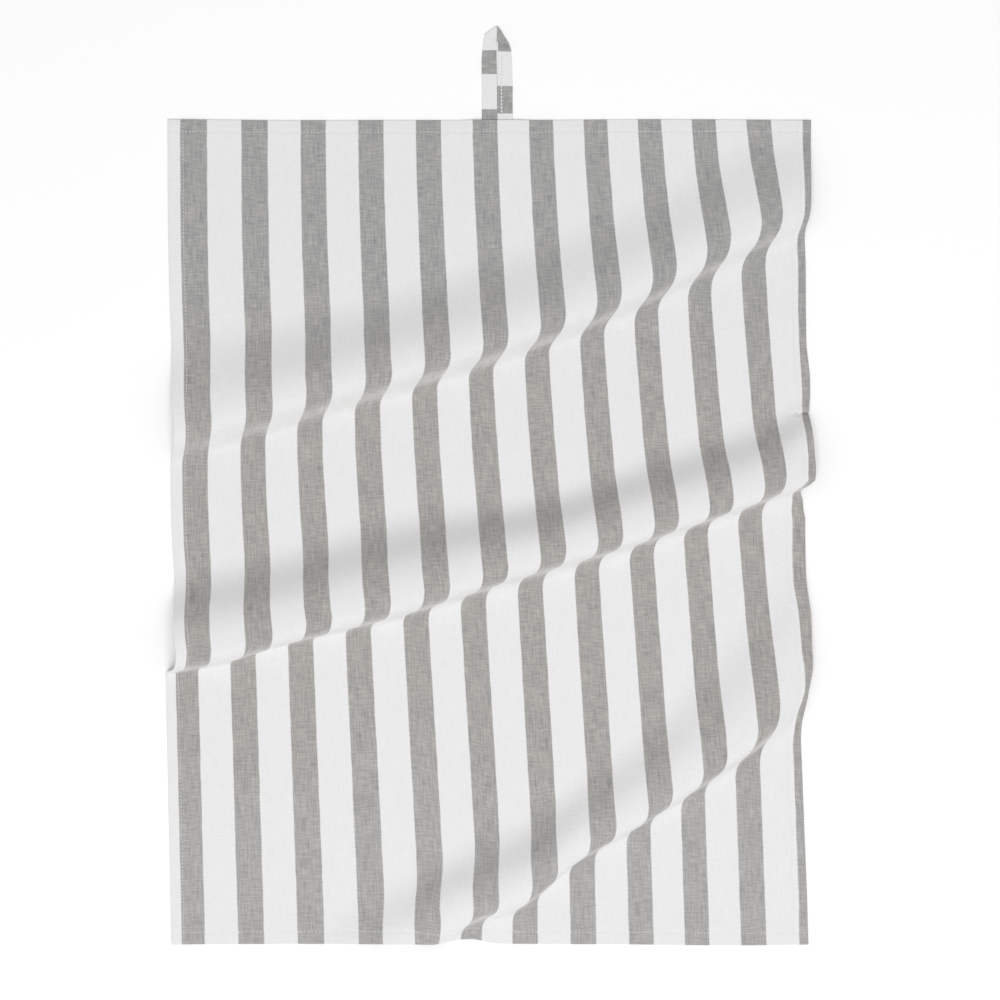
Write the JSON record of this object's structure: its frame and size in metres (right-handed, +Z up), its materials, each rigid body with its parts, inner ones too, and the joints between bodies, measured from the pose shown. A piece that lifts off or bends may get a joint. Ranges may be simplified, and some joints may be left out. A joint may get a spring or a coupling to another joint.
{
  "type": "tea towel",
  "caption": "Striped white and grey cotton tea towel laid out flat with soft diagonal folds across it, and a hanging loop at its top edge.",
  "frame": {"origin": "centre of the bounding box, on the table that the towel lies on", "axes": "+Z up from the table, +Y along the length towards the edge with the hanging loop, +X across the stripes to the right as seen from above"},
  "size_m": [0.4946, 0.7027, 0.0382],
  "materials": {
    "white_cotton": "matt",
    "grey_cotton": "matt"
  },
  "bodies": {
    "root": {"towel_cloth": "white_cotton", "hanging_loop": "grey_cotton"}
  },
  "joints": []
}
